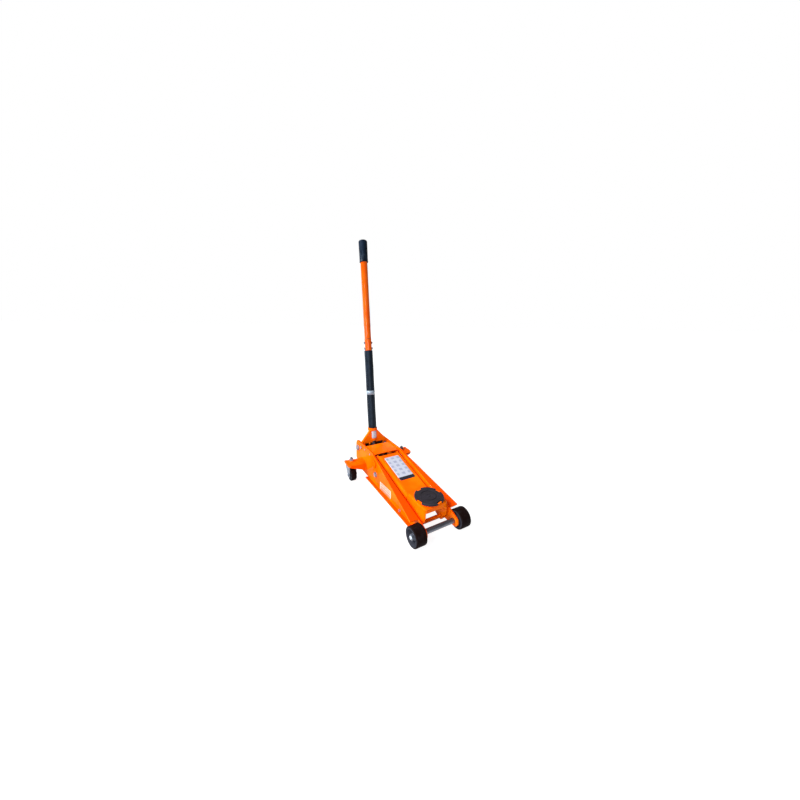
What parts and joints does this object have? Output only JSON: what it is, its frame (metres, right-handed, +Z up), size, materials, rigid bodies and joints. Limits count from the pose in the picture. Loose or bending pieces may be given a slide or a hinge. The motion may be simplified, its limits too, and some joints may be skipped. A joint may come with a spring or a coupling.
{
  "type": "hydraulic trolley jack",
  "caption": "Low wheeled hydraulic jack: a lift arm between two side frames carries a round swivel saddle, pumped and released by a long upright handle on a tilting yoke.",
  "frame": {"origin": "on the floor, under the middle of the whole jack's bounding box", "axes": "+Z up; +X to the right and -X to the left, as seen by someone facing the saddle end; -Y toward the saddle and front wheels, +Y toward the handle and rear casters"},
  "size_m": [0.372, 0.7836, 1.2283],
  "materials": {
    "orange_paint": "gloss powder coat",
    "zinc_plate": "bright zinc plate",
    "dark_steel": "oiled plain steel",
    "wheel_plastic": "moulded hard plastic tread",
    "rubber_pad": "moulded rubber",
    "foam": "closed cell foam",
    "rubber_grip": "moulded rubber",
    "painted_tube": "gloss powder coat",
    "dark_paint": "satin paint",
    "dark_casting": "painted casting"
  },
  "bodies": {
    "frame": {"side_plate_left": "orange_paint", "side_plate_right": "orange_paint", "caster_wing_left": "orange_paint", "caster_wing_right": "orange_paint", "caster_race_left": "zinc_plate", "caster_race_right": "zinc_plate", "caster_kingpin_left": "zinc_plate", "caster_kingpin_right": "zinc_plate", "front_axle": "dark_steel", "axle_washers": "zinc_plate", "axle_nuts": "zinc_plate", "front_tie_bar": "zinc_plate", "tie_bar_bolts": "zinc_plate", "rear_cross_tube": "dark_steel", "cover_plate": "orange_paint", "cover_screws": "zinc_plate", "pump_block": "dark_casting", "oil_reservoir": "dark_paint", "power_unit_plate": "dark_paint", "rod_anchor_bolts": "zinc_plate", "handle_pivot_bolts": "zinc_plate", "handle_stop_bolts": "zinc_plate", "arm_pivot_shaft": "orange_paint", "arm_pivot_sleeves": "dark_steel", "return_spring_left": "zinc_plate", "return_spring_right": "zinc_plate", "plunger_spring": "zinc_plate"},
    "front_wheel_left": {"front_wheel_left": "wheel_plastic"},
    "front_wheel_right": {"front_wheel_right": "wheel_plastic"},
    "caster_fork_left": {"caster_fork_left": "zinc_plate", "caster_axle_left": "zinc_plate"},
    "caster_fork_right": {"caster_fork_right": "zinc_plate", "caster_axle_right": "zinc_plate"},
    "caster_wheel_left": {"caster_wheel_left": "wheel_plastic"},
    "caster_wheel_right": {"caster_wheel_right": "wheel_plastic"},
    "lift_arm": {"lift_arm": "orange_paint", "ram_cross_pin": "dark_steel"},
    "saddle_bracket": {"saddle_bracket": "orange_paint", "bracket_shaft": "orange_paint", "lower_cross_pin": "orange_paint"},
    "saddle": {"saddle_cup": "orange_paint", "saddle_pad": "rubber_pad"},
    "radius_rods": {"radius_rod_left": "orange_paint", "radius_rod_right": "orange_paint"},
    "ram": {"ram": "dark_steel", "ram_head": "dark_steel"},
    "handle_yoke": {"handle_yoke": "orange_paint", "yoke_cross_brace": "dark_paint", "roller_pin": "zinc_plate", "pump_roller": "dark_steel"},
    "handle": {"lower_handle_tube": "painted_tube", "upper_handle_tube": "painted_tube", "handle_joint_bolts": "zinc_plate", "foam_sleeve": "foam", "handle_grip": "rubber_grip"},
    "pump_plunger": {"pump_plunger": "dark_steel"},
    "release_valve": {"release_spindle": "zinc_plate"}
  },
  "joints": [
    {"name": "arm_lift", "type": "hinge", "parent": "frame", "child": "lift_arm", "pos_m": [0, 0.05871, 0.128], "axis": [-1, 0, 0], "range_deg": [0, 62], "deforming": ["return_spring_left", "return_spring_right"]},
    {"name": "bracket_level", "type": "hinge", "parent": "lift_arm", "child": "saddle_bracket", "pos_m": [0, -0.28029, 0.08], "axis": [1, 0, 0], "range_deg": [0, 62]},
    {"name": "saddle_swivel", "type": "hinge", "parent": "saddle_bracket", "child": "saddle", "pos_m": [0, -0.28029, 0.117], "axis": [0, 0, 1], "continuous": true},
    {"name": "rod_swing", "type": "hinge", "parent": "frame", "child": "radius_rods", "pos_m": [0, 0.04571, 0.076], "axis": [-1, 0, 0], "range_deg": [0, 62]},
    {"name": "ram_slide", "type": "slide", "parent": "frame", "child": "ram", "axis": [0, -1, 0], "range_m": [0, 0.05139]},
    {"name": "handle_tilt", "type": "hinge", "parent": "frame", "child": "handle_yoke", "pos_m": [0, 0.26471, 0.128], "axis": [-1, 0, 0], "range_deg": [0, 75]},
    {"name": "pump_stroke", "type": "slide", "parent": "frame", "child": "pump_plunger", "axis": [0, -1, 0], "range_m": [0, 0.0268], "deforming": ["plunger_spring"]},
    {"name": "handle_twist", "type": "hinge", "parent": "handle_yoke", "child": "handle", "pos_m": [0, 0.23394, 0.13183], "axis": [0, 0.1236, 0.9923], "range_deg": [0, 60]},
    {"name": "valve_turn", "type": "hinge", "parent": "frame", "child": "release_valve", "pos_m": [0, 0.23394, 0.13183], "axis": [0, 0.1236, 0.9923], "range_deg": [0, 60]},
    {"name": "front_wheel_left_spin", "type": "hinge", "parent": "frame", "child": "front_wheel_left", "pos_m": [-0.1065, -0.35229, 0.0395], "axis": [1, 0, 0], "continuous": true},
    {"name": "caster_left_swivel", "type": "hinge", "parent": "frame", "child": "caster_fork_left", "pos_m": [-0.152, 0.18171, 0.081], "axis": [0, 0, 1], "continuous": true},
    {"name": "caster_left_roll", "type": "hinge", "parent": "caster_fork_left", "child": "caster_wheel_left", "pos_m": [-0.152, 0.17371, 0.033], "axis": [1, 0, 0], "continuous": true},
    {"name": "front_wheel_right_spin", "type": "hinge", "parent": "frame", "child": "front_wheel_right", "pos_m": [0.1065, -0.35229, 0.0395], "axis": [1, 0, 0], "continuous": true},
    {"name": "caster_right_swivel", "type": "hinge", "parent": "frame", "child": "caster_fork_right", "pos_m": [0.152, 0.18171, 0.081], "axis": [0, 0, 1], "continuous": true},
    {"name": "caster_right_roll", "type": "hinge", "parent": "caster_fork_right", "child": "caster_wheel_right", "pos_m": [0.152, 0.17371, 0.033], "axis": [1, 0, 0], "continuous": true}
  ],
  "couplings": [
    {"joint": "bracket_level", "follows": "arm_lift", "ratio": 1},
    {"joint": "rod_swing", "follows": "arm_lift", "ratio": 1},
    {"joint": "ram_slide", "follows": "arm_lift", "m_per_rad": 0.04748},
    {"joint": "pump_stroke", "follows": "handle_tilt", "m_per_rad": 0.020463},
    {"joint": "valve_turn", "follows": "handle_twist", "ratio": 1}
  ]
}
